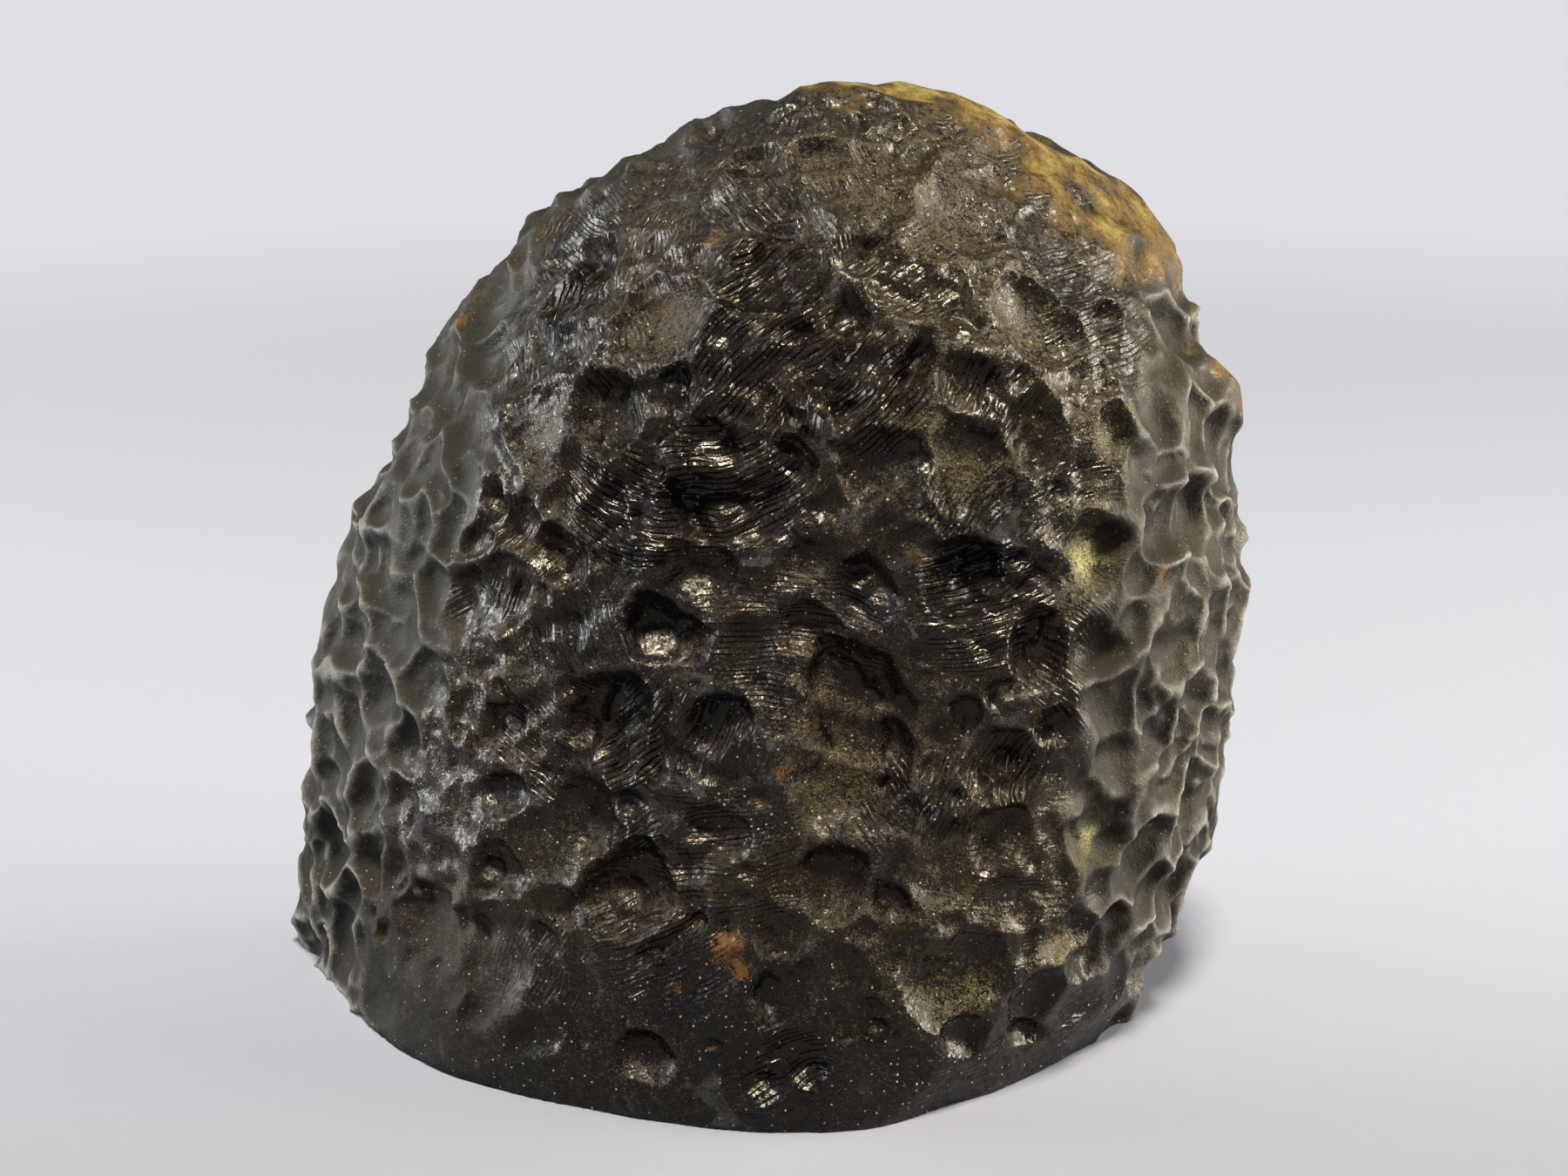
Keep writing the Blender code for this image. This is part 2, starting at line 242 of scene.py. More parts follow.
# Small ledges that catch the light: x, z, radius. Each faces half way between the overhead light
# and the photograph's camera, because it shows as a glint there.
LEDGES = [
    (-1.2, 28.4, 1.3), (0.5, 38.0, 0.9), (1.5, 34.4, 1.1), (-1.7, 31.0, 1.0), (2.4, 28.1, 0.9),
    (5.0, 34.5, 0.9), (10.3, 33.0, 0.9), (10.7, 23.7, 0.7), (11.3, 17.1, 0.7), (-5.9, 14.6, 0.8),
    (-8.4, 22.5, 0.8), (6.9, 38.4, 0.8), (0.1, 15.3, 0.6), (-1.3, 35.6, 0.6), (-6.4, 28.3, 0.7),
    (-12.1, 27.8, 0.7), (-8.5, 19.7, 0.6), (-3.4, 17.0, 0.6), (0.5, 1.9, 0.9), (-0.3, 12.0, 0.6),
    (0.4, 38.8, 0.6), (1.9, 38.6, 0.7), (4.0, 39.2, 0.7), (6.3, 38.6, 0.7), (8.4, 37.7, 0.7),
    (9.0, 36.2, 0.6), (4.0, 36.6, 0.6), (1.9, 36.0, 0.7), (3.7, 34.6, 0.6), (0.4, 33.1, 0.7),
    (2.1, 33.3, 0.6), (10.3, 33.7, 0.6), (1.6, 31.1, 0.6), (1.3, 27.3, 0.6), (-5.3, 28.9, 0.6),
    (-5.6, 26.8, 0.5), (-4.1, 25.7, 0.6), (-2.7, 24.8, 1.1), (-4.4, 22.5, 0.9), (4.7, 25.5, 0.8),
    (5.6, 24.6, 0.8), (9.8, 26.6, 0.6), (10.3, 25.4, 0.6), (11.5, 26.3, 0.6), (8.7, 24.5, 0.6),
    (-9.3, 26.0, 0.7), (-9.6, 24.0, 0.6), (-3.4, 33.7, 0.6), (-8.0, 39.0, 0.9), (-9.1, 36.4, 0.9),
    (11.2, 20.6, 0.6), (13.4, 18.4, 0.5), (9.0, 15.6, 0.6), (10.5, 16.5, 0.5), (-11.4, 17.9, 0.6),
    (-12.0, 19.2, 0.6), (-12.5, 10.5, 0.6), (-2.6, 13.7, 0.7), (-7.3, 16.7, 0.6), (5.6, 4.9, 0.6),
    (2.5, 2.6, 0.7), (-1.9, 3.8, 0.5), (-16.7, 8.3, 0.5), (7.3, 30.5, 0.6), (-6.1, 10.2, 0.8),
]
# How unevenly the ledges face so, how much of the skin's other relief a ledge levels, and how
# far it reaches, in its radii
LEDGE_UNEVEN = 0.03
LEDGE_SEED = 8
LEDGE_LEVEL = 0.88
LEDGE_REACH = 1.6

# The front's foot is smoother from the first height down to the second, and fades over this
# depth behind FOOT_LIMIT. It has fewer lumps by this share.
FOOT_FADE = (6.5, 3.0)
FOOT_DEPTH = 3
FOOT_SMOOTHER = 0.7
# Listed pits wider than this have fewer lumps in them, down to this share at their middles
LUMPLESS_RADIUS = 1.1
PIT_LUMPS = 0.25
# The crust takes this share off the relief under it
CRUST_SMOOTHER = 0.70

# Half-sizes of the egg shape that spreads the mesh points evenly over the stone
SPREAD = np.array([25.0, 13.5, 23.5])
FINE_LEVEL = 9
TRIANGLE_COUNT = 196000
UNDERSIDE_RELIEF = 0.35
# Lines that look for the stone's surface start this far out, at the front and at the sides. They
# go in by this step, this many times, and the last step is halved this many times.
FRONT_START = -30.0
SIDE_START = 45
LINE_STEP = 0.5
LINE_STEPS = 200
LINE_HALVINGS = 20

# Fields of flow lines on the front: x, z, radius, direction (degrees, 0 is level to the right,
# 90 is up), and bend (degrees of turn per millimetre)
FLOW_FIELDS = [
    (-7.8, 37.3, 2.6, 95, 0), (0.4, 38.3, 2.0, 40, 0), (0.2, 34.7, 3.2, 43, -3),
    (-5.6, 28.2, 2.2, -20, 8), (-1.2, 29.9, 2.6, 15, 8), (9.7, 29.2, 1.8, 50, 0),
    (10.9, 24.9, 2.6, 18, 4), (-6.3, 18.0, 2.6, 35, 5), (-4.6, 13.5, 2.2, 35, 0),
    (-4.0, 8.6, 2.8, 30, 4), (1.5, 2.2, 2.0, 25, 0), (11.9, 16.8, 1.5, 65, 0),
    (8.8, 15.8, 1.5, 70, 0), (5.0, 33.7, 2.0, 45, 4), (2.4, 33.0, 1.3, 80, 0),
    (10.3, 33.0, 1.6, 60, 0),
]
# The rest of the stone has fields from a seed: how many places are tried, their radii and bends,
# how strong they are, and how far from the middle of another they stay, in its radii
FLOW_SEEDED = 90
FLOW_RADII = (1.8, 4.0)
FLOW_BENDS = (-8, 8)
FLOW_SEED = 5
FLOW_SEEDED_STRENGTH = 0.35
FLOW_SPACING = 0.8
# Fields lower than this height have this share of their strength
LOW_FLOW = (12.0, 0.40)
# How far a field reaches, in its radii. Its lines are full at this lead over the next field and
# at this weight of its own. Two fields' lines are numbered this far apart.
FLOW_REACH = 1.2
FLOW_LEAD = 0.25
FLOW_FULL = 0.5
FLOW_APART = 20

# Dust on the front: x, z, radius, amount
BROWN_DUST = [
    (16.6, 38.0, 2.2, 0.6), (10.0, 43.6, 2.4, 0.7), (-3.8, 36.5, 2.3, 1.0), (-0.1, 42.9, 1.4, 0.7),
    (3.0, 43.4, 1.2, 0.9), (5.1, 42.0, 3.1, 0.5), (9.3, 40.7, 2.3, 0.6), (4.0, 19.0, 2.9, 1.0),
    (3.2, 21.7, 1.5, 0.7), (3.6, 16.6, 1.7, 0.9), (-16.2, 6.8, 2.6, 0.6), (-5.3, 3.2, 1.6, 0.8),
    (-6.0, 10.6, 2.4, 0.7), (5.2, 11.1, 3.1, 0.6), (-6.5, 19.1, 2.2, 0.7), (-6.3, 32.6, 1.5, 0.6),
    (-9.2, 25.9, 1.6, 0.7), (2.4, 26.6, 2.3, 0.4), (9.1, 30.9, 2.3, 0.8), (-9.4, 31.0, 1.8, 0.7),
    (-14.4, 8.4, 1.8, 0.5), (-12.4, 5.6, 2.8, 0.35),
]
OLIVE_DUST = [
    (20.5, 33.0, 2.6, 0.5), (21.5, 27.0, 3.0, 0.5), (21.5, 20.0, 3.0, 0.5), (21.0, 13.0, 3.0, 0.5),
    (9.2, 7.2, 2.6, 1.0), (15.4, 26.4, 1.7, 2.1), (16.0, 31.7, 1.4, 1.2), (16.0, 12.7, 1.8, 1.7),
    (14.4, 7.7, 1.6, 1.1), (8.8, 31.2, 2.3, 0.6), (12.2, 36.1, 2.3, 0.6), (4.2, 16.5, 1.5, 0.7),
    (8.0, 38.0, 2.3, 0.4), (-11.9, 37.6, 1.5, 0.8), (-13.7, 35.9, 1.3, 0.9),
    (-15.0, 33.5, 1.3, 0.7), (-16.4, 30.5, 1.2, 0.5), (6.0, 42.0, 2.6, 0.2),
]
# Ochre crust along the top right rim, as two rows of soft patches: x, y, z, radius
CRUST = [
    (4.4, 1.0, 46.3, 1.9), (7.4, 1.8, 45.9, 2.3), (10.6, 2.6, 44.6, 2.7), (13.6, 2.8, 42.8, 2.9),
    (16.4, 3.4, 41.2, 3.0), (18.6, 3.8, 39.6, 2.5), (19.6, 3.4, 37.6, 1.6), (23.4, 2.4, 32.2, 1.8),
    (13.9, 0.2, 41.2, 1.7), (16.6, 0.6, 39.2, 1.9), (18.9, 1.4, 37.6, 1.2),
]
CRUST_REACH = 1.3
# Rust and ochre flecks: x, z, radius
FLECKS = [
    (3.8, 20.0, 0.4), (1.3, 17.0, 0.6), (-1.8, 39.8, 0.7), (-2.8, 37.9, 0.6), (7.3, 39.3, 0.3),
    (-1.2, 8.8, 1.1), (-0.5, 7.6, 0.5), (-3.6, 6.8, 0.5), (-7.1, 6.0, 0.3), (14.4, 8.0, 0.8),
    (18.8, 24.7, 0.8), (22.9, 12.3, 0.6), (22.9, 14.3, 0.5), (-14.5, 34.4, 0.6),
]
# How strongly the flecks and the ledges' patches are painted
FLECK_AMOUNT = 1.6
LEDGE_AMOUNT = 1.3

# Colours of the stone: its crisp glass, its worn skin, what lies on them, and the crust. Some are
# painted light: shade at the foot, in the worn pits and on worn skin that looks up, sheen on the
# ridges, and glints among the pale specks.
COLOURS = {
    "glass": (0.0108, 0.0095, 0.0090, 1), "brown glass": (0.0190, 0.0144, 0.0096, 1),
    # Painted shade: the foot's colour darkens the front towards its base.
    "foot": (0.0020, 0.0018, 0.0024, 1),
    "worn": (0.006, 0.006, 0.005, 1), "worn cloud": (0.020, 0.017, 0.013, 1),
    # Painted shade: the worn pit's colour darkens the bowls, and the worn top's the skin that
    # looks up.
    "worn pit shade": (0.003, 0.003, 0.002, 1), "worn top": (0.008, 0.007, 0.005, 1),
    # Painted sheen on the pale worn ridges, which are partly wear.
    "rubbed ridge and sheen": (0.230, 0.217, 0.192, 1),
    "earth": (0.054, 0.038, 0.020, 1), "silt": (0.050, 0.041, 0.018, 1),
    "brown dust": (0.080, 0.055, 0.030, 1), "olive dust": (0.110, 0.092, 0.028, 1),
    "pale olive": (0.270, 0.240, 0.100, 1),
    # The pale speck colour is partly painted glints.
    "speck": (0.50, 0.44, 0.34, 1), "fleck": (0.13, 0.065, 0.014, 1),
    "crust edge": (0.040, 0.025, 0.007, 1), "crust": (0.084, 0.050, 0.010, 1),
    "pale crust": (0.190, 0.156, 0.050, 1),
}
# Noise patterns in the stone's material: size, detail, roughness
PATTERNS = {
    "fine": (0.11, 2.0, 0.7), "grain": (0.32, 4.0, 0.70), "grit": (0.085, 1.0, 0.6),
    "cloud": (2.6, 3.0, 0.55), "blotch": (1.5, 3.0, 0.55), "glass": (7.0, 2.0, 0.5),
    "dust": (4.0, 2.0, 0.5), "gloss": (1.4, 3.0, 0.5), "rumple": (0.60, 2.0, 0.5),
}
# Sizes of its patterns of cells, and the share of the specks' cells that hold none
SPECK_CELL = 0.30
FACET_CELL = 0.24
SPECKLESS = 0.76
# Roughness of each kind of skin: a value, or the least and the most over a pattern
ROUGHNESS = {
    "worn": 0.65, "crisp": (0.13, 0.24), "line": 0.20, "dust": 0.65, "ledge": (0.16, 0.28),
    "worn top": 0.75, "crisp top": (0.28, 0.65), "low left": 0.85, "crust": (0.26, 0.75),
}
# Heights of its finest relief
RELIEF = {
    "line": 0.17, "line on ledge": 0.09, "worn grain": 0.032, "crisp grain": 0.014,
    "dusty grain": 0.045, "rumple": 0.07, "speck": 0.03, "worn facet": 0.06, "facet": 0.24,
    "facet on ledge": 0.20,
}
# Gloss of the glass: its refraction, the level of its reflection and their tint
IOR = 1.42
SPECULAR = 0.50
SPECULAR_TINT = (1.0, 0.94, 0.82, 1)
# Where the looks change: the heights where the painted shade of the dark foot ends and where dust,
# thinned towards the foot as painted shade, starts to lie, and the height and X where the matt low
# left corner ends
FOOT_SHADE = (3.0, 14.0)
DUST_AND_SHADE_HEIGHTS = (1.0, 16.0)
LOW_LEFT_HEIGHTS = (5.0, 13.0)
LOW_LEFT_SIDE = (-14.0, -8.0)
# How pale the ridges are across the stone: from X, to X, and the change between them. The paleness
# is partly wear and partly painted sheen, strongest on the outer flanks where the side light
# falls.
RIDGE_SHEEN_BY_X = [(-20.0, -14.0, 1.0, 0.45), (8.0, 14.0, 0.0, -0.20), (16.0, 20.5, 0.0, 0.75)]
# Flow lines are small steps: their spacing, the share of it that a step's long side takes, how
# far they wobble, in spacings, and the sizes across and along them of the patterns that wobble
# them and that pick the strong ones
LINE_SPACING = 0.25
LONG_SIDE = 0.70
WOBBLE = 1.6
WOBBLE_SIZES = (0.9, 5.0)
STRONG_SIZES = (0.45, 1.6)

# Camera: the photograph's, 16 degrees above level, 103 mm from the point it is aimed at
AIM = Vector((1.7, -3.7, 23.0)) * MM
CAMERA_PITCH = 16.0
CAMERA_DISTANCE = 103 * MM
LENS = 50.0
SENSOR = 36.0
CLIP_START = 0.005

# The paper: how far it reaches, its fibres' size in metres, its two colours near by and behind
# the stone, its colour far off, and where these meet, as Y and as distances. These colours paint
# the light on the paper: darker in front of the stone, paler behind it, and palest and bluest far
# off.
PAPER_REACH = 6000
PAPER_FIBRE = 1 / 900
PAPER_NEAR_SHADED = ((0.166, 0.167, 0.181, 1), (0.176, 0.177, 0.191, 1))
PAPER_BEHIND = ((0.251, 0.261, 0.303, 1), (0.261, 0.271, 0.313, 1))
PAPER_FAR_LIT = (0.365, 0.386, 0.470, 1)
BEHIND_FROM = (-45, 8)
FAR_FROM = (60, 400)
PAPER_ROUGHNESS = 0.9
PAPER_SPECULAR = 0.2

# The overhead light: where it comes from and where it goes, its width in degrees, its strength
# and its colour
KEY_PLACE = (5, -105, 330)
KEY_TARGET = (0, 0, 20)
KEY_WIDTH = 12.0
KEY_STRENGTH = 5.2
KEY_COLOUR = (1.0, 0.93, 0.79)
# Soft panels: place, diameter, power in watts, colour. All face one point, and their light
# spreads by this many degrees, so that they leave the paper round the stone alone.
PANEL_TARGET = (0, 5, 25)
PANEL_SPREAD = 75.0
PANELS = [
    ("window", (-282, 42, 85), 200, 0.235, (0.90, 0.95, 1.0)),
    ("wide lamp", (287, -5, 90), 220, 0.42, (1.0, 0.95, 0.85)),
    ("sky", (-190, -170, 150), 40, 0.012, (0.55, 0.66, 1.0)),
]
# The room's glow: the sines of two angles above the horizon, its strength at both, its colour
ROOM = (0.10, 0.28, 0.60, 0.18)
ROOM_COLOUR = (0.90, 0.93, 1.0, 1)


def outward(bearing, tilt):
    """Unit vectors that point at a bearing and a tilt, both in degrees."""
    b, t = np.radians(bearing), np.radians(tilt)
    return np.stack([np.sin(b) * np.cos(t), -np.cos(b) * np.cos(t), np.sin(t)], -1)


FACE_NORMALS = np.array([outward(bearing, tilt) for _, bearing, tilt, _ in FACES])
FACE_DISTANCES = np.array([distance for _, _, _, distance in FACES])


def unit(vectors):
    """The vectors at length 1."""
    return vectors / np.linalg.norm(vectors, axis=-1, keepdims=True)


def fullness(points):
    """1 on the stone's form, less inside it and more outside: the faces, rounded together."""
    reach = np.maximum((points - MIDDLE) @ FACE_NORMALS.T, 0) / FACE_DISTANCES
    return (reach ** EDGE_POWER).sum(-1) ** (1 / EDGE_POWER)


def form_points(rays):
    """The points of the form that rays from MIDDLE meet."""
    return MIDDLE + rays / fullness(MIDDLE + rays)[:, None]


def form_normals(points):
    """The directions that the form faces at its points."""
    reach = np.maximum((points - MIDDLE) @ FACE_NORMALS.T, 0) / FACE_DISTANCES
    return unit((reach ** (EDGE_POWER - 1) / FACE_DISTANCES) @ FACE_NORMALS)


def form_point_along(start, step):
    """The point where a line that comes from outside first meets the form."""
    points = start + step * LINE_STEP * np.arange(LINE_STEPS)[:, None]
    first = np.argmax(fullness(points) < 1)
    if first == 0:
        raise ValueError("the line misses the stone")
    outside, inside = points[first - 1], points[first]
    for _ in range(LINE_HALVINGS):
        half = (outside + inside) / 2
        if fullness(half) < 1:
            inside = half
        else:
            outside = half
    return inside


def on_front(x, z):
    """The point of the form that shows at x and z from the front."""
    return form_point_along(np.array([x, FRONT_START, z]), np.array([0.0, 1.0, 0.0]))


def on_side(bearing, z):
    """The point of the form at a bearing from its upright middle line, and at a height."""
    ray = outward(bearing, 0)
    return form_point_along(np.array([MIDDLE[0], MIDDLE[1], z]) + SIDE_START * ray, -ray)


def even_points(rng, count):
    """Random points spread evenly over the form."""
    return form_points(unit(unit(rng.normal(size=(count, 3))) * SPREAD))


def ramp(values, none, full):
    """0 where the values are at one end, 1 where they are at the other, and straight between."""
    return np.clip((values - none) / (full - none), 0, 1)


def waves(points, seed):
    """Smooth random waves of about one unit, between -1 and 1."""
    rng = np.random.default_rng(seed)
    order = rng.permutation(256)
    slopes = unit(rng.normal(size=(256, 3)))
    cell = np.floor(points).astype(int)
    inner = points - cell
    fade = inner ** 3 * (inner * (inner * 6 - 15) + 10)
    total = np.zeros(len(points))
    for corner in np.ndindex(2, 2, 2):
        key = order[(cell[:, 0] + corner[0]) & 255]
        key = order[(key + cell[:, 1] + corner[1]) & 255]
        key = order[(key + cell[:, 2] + corner[2]) & 255]
        rise = ((inner - corner) * slopes[key]).sum(1)
        total += rise * np.where(corner, fade, 1 - fade).prod(1)
    return total * WAVE_GAIN


def uneven(points, sets):
    """The sum of some sets of smooth waves."""
    return sum(high * waves(points / size, seed) for size, seed, high in sets)


def wander(points):
    """Points shifted by smooth waves, in which a round pit gets an uneven outline."""
    moved = points.copy()
    for size, seed, shift in WANDERS:
        for axis in range(3):
            moved[:, axis] += shift * waves(points / size, seed + axis)
    return moved


def placed_pits():
    """The listed pits: middles, radii and depths."""
    chosen = [(on_front(x, z), r, d) for x, z, r, d in DEEP_PITS + BROAD_PITS + LONG_HOLLOW]
    return chosen + [(on_front(x, z), r, SMALL_PIT_DEPTH * r) for x, z, r in SMALL_PITS]


def all_pits():
    """Every pit: middles, radii and depths, with the bare skin filled from the seed."""
    chosen = placed_pits()
    middles, radii, depths = map(list, zip(*chosen))
    rng = np.random.default_rng(FILL_SEED)
    for size, tries in FILL_SIZES:
        places = even_points(rng, tries)
        sizes = size * rng.uniform(*FILL_VARIES, tries)
        shares = rng.uniform(*PIT_DEPTH_SHARE, tries)
        for point, radius, share in zip(places, sizes, shares):
            gaps = np.linalg.norm(np.array(middles) - point, axis=1)
            smooth = point[2] < FOOT_HEIGHT and point[1] < FOOT_LIMIT
            wanted = point[2] > LOWEST_FILL and not smooth
            if wanted and (gaps > FILL_SPACING * (np.array(radii) + radius)).all():
                middles.append(point)
                radii.append(radius)
                depths.append(radius * share)
    middles, radii, depths = map(np.array, (middles, radii, depths))
    filled = np.arange(len(radii)) >= len(chosen)
    radii[filled] *= FILL_WIDEN
    depths[~filled] *= PLACED_DEEPEN / PIT_DEEPEN
    depths[filled] *= np.clip(FILL_DEPTH + uneven(middles[filled], FILL_WAVES), *FILL_DEPTH_LIMITS)
    depths[filled] *= 1 - FRONT_FILL_FLATTER * crispness(middles[filled])
    return middles, radii, depths


def crispness(points):
    """1 where the skin is freshly broken and crisp, as on the front, and 0 where it is worn."""
    facing = form_normals(points)
    x, z = points[:, 0], points[:, 2]
    ragged = uneven(points, EDGE_WAVES)
    inside = [x - np.interp(z, *CRISP_LEFT), np.interp(z, *CRISP_RIGHT) - x,
              np.interp(x, *CRISP_TOP) - z]
    half = CRISP_FADE / 2
    front = np.prod([ramp(room + ragged, -half, half) for room in inside], axis=0)
    front *= ramp(facing @ outward(0, 30), 0, 0.25)
    # Some patches of the back are crisp too
    back = np.clip(uneven(points, BACK_WAVES) - 0.1, 0, 0.7)
    back *= ramp(facing @ outward(2, 10), 0.2, -0.3)
    return np.maximum(front, back)


def pit_distance(points):
    """Distance to the nearest wide listed pit, in that pit's radii."""
    return np.min([np.linalg.norm(points - middle, axis=1) / radius
                   for middle, radius, _ in placed_pits() if radius > LUMPLESS_RADIUS], axis=0)


def on_foot(points):
    """1 on the front's smooth foot, 0 above it."""
    return (ramp(points[:, 2], *FOOT_FADE)
            * ramp(points[:, 1], FOOT_LIMIT + FOOT_DEPTH, FOOT_LIMIT))


def groove_pits():
    """The grooves as rows of small pits: middles, radii and depths."""
    pits = []
    for _, radius, depth, corners in GROOVES:
        for start, end in zip(np.array(corners[:-1]), np.array(corners[1:])):
            count = max(int(np.hypot(*(end - start)) / GROOVE_STEP), 1)
            places = [start + (end - start) * k / count for k in range(count)]
            pits += [(on_front(x, z), radius, depth) for x, z in places]
    return [np.array(part) for part in zip(*pits)]


def chips():
    """Small chips, in loose patches: middles, radii and depths."""
    rng = np.random.default_rng(CHIP_SEED)
    middles = even_points(rng, CHIP_TRIES)
    least, most = CHIP_RADII
    radii = rng.uniform(0, 1, CHIP_TRIES) ** CHIP_SMALLNESS * (most - least) + least
    chance = uneven(middles, CHIP_WAVES) + crispness(middles)
    kept = chance > rng.uniform(*CHIP_CHANCE, CHIP_TRIES)
    kept &= (pit_distance(middles) > CHIP_CLEARANCE) & (on_foot(middles) < 0.5)
    depths = radii * CHIP_DEPTH_SHARE * rng.uniform(*CHIP_DEPTH_VARIES, CHIP_TRIES)
    return middles[kept], radii[kept], depths[kept]


def scallops():
    """Small pits close together on the worn skin: middles, radii and depths."""
    rng = np.random.default_rng(SCALLOP_SEED)
    places = even_points(rng, SCALLOP_TRIES)
    sizes = np.linspace(*SCALLOP_RADII, SCALLOP_TRIES)
    kinds = np.array([crispness(places), on_foot(places), crust_nearness(places)])
    worn = (kinds.T < SCALLOP_LIMITS).all(1)
    kept = np.zeros(SCALLOP_TRIES, bool)
    for n in np.nonzero(worn)[0]:
        gaps = np.linalg.norm(places[kept] - places[n], axis=1)
        kept[n] = (gaps > SCALLOP_SPACING * (sizes[kept] + sizes[n])).all()
    shares = rng.uniform(*SCALLOP_DEPTH_SHARE, SCALLOP_TRIES)
    return places[kept], SCALLOP_WIDEN * sizes[kept], (sizes * shares)[kept]


def bowls(points, pits, round_by):
    """How deep pits cut at each point. The deepest one counts, rounded where two meet."""
    middles, radii, depths = pits
    order = np.argsort(points[:, 0])
    across = points[order]
    cut = np.ones(len(points))
    for middle, radius, depth in zip(middles, radii, depths):
        low, high = np.searchsorted(across[:, 0], (middle[0] - radius, middle[0] + radius))
        away = np.linalg.norm(across[low:high] - middle, axis=1) / radius
        near = low + np.nonzero(away < 1)[0]
        bowl = depth * (1 - away[near - low] ** PIT_SHAPE)
        cut[near] += np.exp(bowl / round_by) - 1
    deep = np.empty(len(points))
    deep[order] = round_by * np.log(cut)
    return deep


def pitted_depth(points):
    """How deep the pits cut at each point of the form, and how deep the finer relief does."""
    here = wander(points)
    middles, radii, depths = all_pits()
    deep = bowls(here, (wander(middles), radii, depths * PIT_DEEPEN), RIDGE_ROUND)
    parts = zip(chips(), groove_pits(), scallops())
    middles, radii, depths = [np.concatenate(part) for part in parts]
    return deep, bowls(here, (wander(middles), radii, depths), FINE_RIDGE_ROUND)


def knob_height(points):
    """How far the knobs stand out at each point."""
    height = np.zeros(len(points))
    for _, bearing, z, radius, rise in KNOBS:
        away = np.linalg.norm(points - on_side(bearing, z), axis=1) / radius
        height += rise * np.exp(-away ** 2 * KNOB_FALL)
    return height


def level_ledges(points, rise):
    """Each ledge levels its patch of skin and turns it to face one way."""
    rng = np.random.default_rng(LEDGE_SEED)
    camera = np.array(AIM) / MM + CAMERA_DISTANCE / MM * outward(0, CAMERA_PITCH)
    key = np.array(KEY_PLACE) - np.array(KEY_TARGET)
    for x, z, radius in LEDGES:
        middle = on_front(x, z)
        normal = form_normals(middle[None])[0]
        wanted = unit(unit(camera - middle) + unit(key) + LEDGE_UNEVEN * rng.normal(size=3))
        lean = wanted / (wanted @ normal) - normal
        near = np.nonzero((np.abs(points - middle) < LEDGE_REACH * radius).all(1))[0]
        offset = points[near] - middle
        weight = np.exp(-((offset ** 2).sum(1) / radius ** 2) ** 2)
        flat = np.average(rise[near], weights=weight) - offset @ lean
        rise[near] += LEDGE_LEVEL * weight * (flat - rise[near])
    return rise


def near_weight(points, centre, radius):
    """1 at the centre, and less further out."""
    return np.exp(-((points - centre) ** 2).sum(1) / radius ** 2)


def crust_nearness(points):
    """1 in the middle of the crust, and less further out."""
    near = [near_weight(points, np.array([x, y, z]), CRUST_REACH * r) for x, y, z, r in CRUST]
    return np.max(near, axis=0)


def skin_points(rays):
    """Points of the finished skin along the rays, and how deep the pits are there."""
    points = form_points(rays)
    pits, chipped = pitted_depth(points)
    smooth = 1 - CRUST_SMOOTHER * ramp(crust_nearness(points), 0.35, 0.85)
    bumpy = crispness(points) * (1 - FOOT_SMOOTHER * on_foot(points))
    bumpy *= np.maximum(ramp(pit_distance(points), 0.5, 1), PIT_LUMPS)
    lumps = bumpy * uneven(points, LUMPS)
    rise = uneven(points, SWELLS) + knob_height(points) + (lumps - pits - chipped) * smooth
    rise = level_ledges(points, rise)
    return points + form_normals(points) * rise[:, None], pits


def stand_flat(skin):
    """Points under the floor are drawn up to it, towards MIDDLE, as a slightly uneven base."""
    under = skin[:, 2] < 0
    share = MIDDLE[2] / (MIDDLE[2] - skin[under, 2])
    flat = MIDDLE + (skin[under] - MIDDLE) * share[:, None]
    depth = np.minimum(-skin[under, 2] * 0.5, 1)
    flat[:, 2] = depth * UNDERSIDE_RELIEF * np.clip(0.5 + uneven(flat, BASE_WAVES), 0, 1)
    skin[under] = flat
    return skin


def dense_stone():
    """A dense ball of triangles moved out to the stone's skin, then thinned where it is plain."""
    bpy.ops.mesh.primitive_ico_sphere_add(subdivisions=FINE_LEVEL, radius=1)
    stone = bpy.context.object
    mesh = stone.data
    skin, pits = skin_points(unit(mesh_points(mesh) * SPREAD))
    mesh.vertices.foreach_set("co", stand_flat(skin).ravel())
    deep = mesh.attributes.new("pit", "FLOAT", "POINT")
    deep.data.foreach_set("value", pits)
    mesh.update()

    thin = stone.modifiers.new("thin out", "DECIMATE")
    thin.ratio = TRIANGLE_COUNT / len(mesh.polygons)
    bpy.context.view_layer.update()
    evaluated = stone.evaluated_get(bpy.context.evaluated_depsgraph_get())
    thinned = bpy.data.meshes.new_from_object(evaluated)
    stone.modifiers.clear()
    stone.data = thinned
    bpy.data.meshes.remove(mesh)
    soften(thinned)
    return stone


def front_mask(points, patches):
    """The sum of soft round patches on the front."""
    total = np.zeros(len(points))
    for x, z, radius, amount in patches:
        total += amount * near_weight(points, on_front(x, z), radius)
    return total


def flow_fields():
    """Every field of flow lines: middle, radius, direction in space, bend and strength."""
    fields = []
    low_height, low_share = LOW_FLOW
    for x, z, radius, angle, bend in FLOW_FIELDS:
        a = np.radians(angle)
        direction = np.array([np.cos(a), 0, np.sin(a)])
        strength = 1.0 if z > low_height else low_share
        fields.append((on_front(x, z), radius, direction, bend, strength))
    rng = np.random.default_rng(FLOW_SEED)
    for middle in even_points(rng, FLOW_SEEDED):
        near = [np.linalg.norm(middle - field[0]) < FLOW_SPACING * field[1] for field in fields]
        radius, bend = rng.uniform(*FLOW_RADII), rng.uniform(*FLOW_BENDS)
        direction = unit(rng.normal(size=3))
        if not any(near):
            low = 1.0 if middle[2] > low_height else low_share
            fields.append((middle, radius, direction, bend, FLOW_SEEDED_STRENGTH * low))
    return fields


